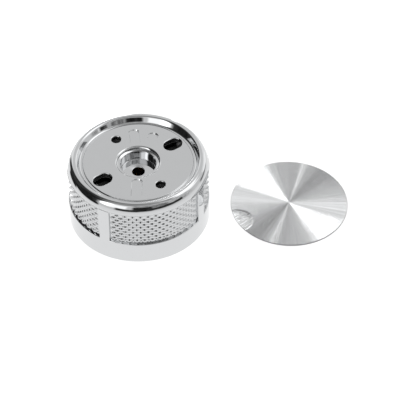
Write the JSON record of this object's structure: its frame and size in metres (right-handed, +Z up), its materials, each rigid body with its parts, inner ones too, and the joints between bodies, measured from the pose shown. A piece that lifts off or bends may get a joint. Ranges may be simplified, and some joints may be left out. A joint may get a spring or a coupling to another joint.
{
  "type": "valve control knob",
  "caption": "Round chrome valve knob with knurled grip pads, a recessed top with a screw well and slots, its spindle hub, and a loose spun aluminium face disc with a pointer dimple.",
  "frame": {"origin": "centre of the spindle bore's mouth, on the knob's axis in the plane of its foot", "axes": "+Z up along the knob's axis, towards the recessed top; +X towards the loose disc that lies beside the knob"},
  "size_m": [0.0992, 0.0498, 0.0259],
  "materials": {
    "knob_shell": "bright chrome plate on a zinc casting",
    "grip_pads": "bright chrome plate, knurled",
    "hub_carrier": "black glass-filled nylon",
    "spline_insert": "machined",
    "insert_clip": "oiled spring steel",
    "spindle_oring": "matte nitrile",
    "carrier_screws": "stainless",
    "screw_washers": "stamped stainless",
    "foot_glide_ring": "white acetal",
    "face_disc": "spun in rings, clear lacquer",
    "disc_adhesive": "double-sided adhesive tape"
  },
  "bodies": {
    "knob": {"knob_shell": "knob_shell", "grip_pads": "grip_pads", "hub_carrier": "hub_carrier", "spline_insert": "spline_insert", "insert_clip": "insert_clip", "spindle_oring": "spindle_oring", "carrier_screws": "carrier_screws", "screw_washers": "screw_washers", "foot_glide_ring": "foot_glide_ring"},
    "disc": {"face_disc": "face_disc", "disc_adhesive": "disc_adhesive"}
  },
  "joints": [
    {"name": "disc_lift", "type": "slide", "parent": "knob", "child": "disc", "axis": [0, 0, 1], "range_m": [0, 0.04]}
  ]
}
